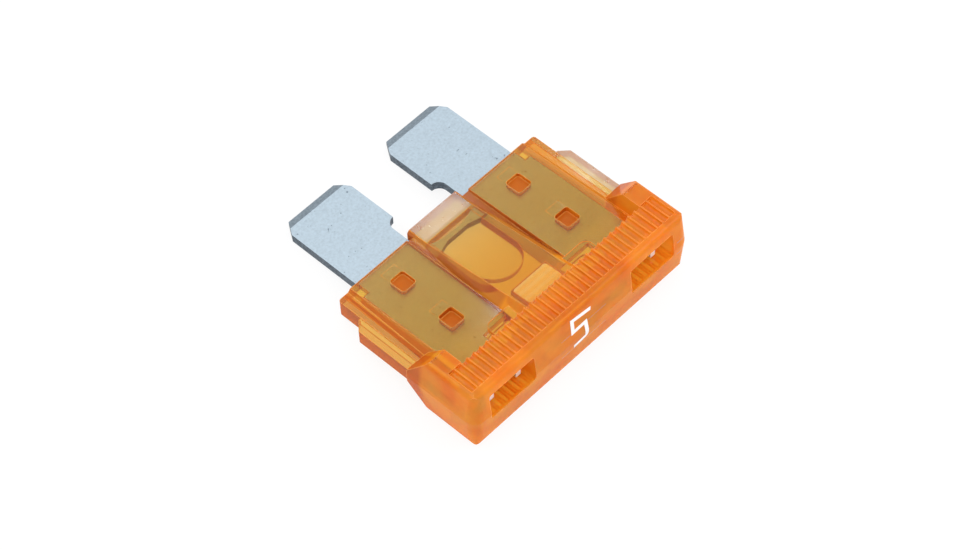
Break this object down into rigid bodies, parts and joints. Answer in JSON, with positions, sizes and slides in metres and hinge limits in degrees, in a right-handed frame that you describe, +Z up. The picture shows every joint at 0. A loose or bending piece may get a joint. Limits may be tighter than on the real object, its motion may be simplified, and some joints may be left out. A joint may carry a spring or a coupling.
{
  "type": "blade fuse",
  "caption": "Flat blade fuse with stamped zinc blades in a ribbed, see-through orange housing and a lamp that shows when it has blown.",
  "frame": {"origin": "centre of the footprint, on the surface that the loose fuse lies on", "axes": "+X across the two blades; +Y from the head towards the blade tips, seen from above; +Z up. The fuse lies on one broad side, on the heel of its head and on its blade tips, so its own plane leans 8.6 degrees down towards the tips"},
  "size_m": [0.0192, 0.0192, 0.0056],
  "materials": {
    "housing_plastic": "clear orange",
    "zinc": "dull, fine mottled grain",
    "lamp_plastic": "milky",
    "lead_wire": "tinned",
    "resistor_body": "matte"
  },
  "bodies": {
    "root": {"housing": "housing_plastic", "fuse_element": "zinc", "indicator_lamp": "lamp_plastic", "lamp_lead_left": "lead_wire", "lamp_lead_right": "lead_wire", "series_resistor": "resistor_body", "resistor_lead": "lead_wire"}
  },
  "joints": []
}
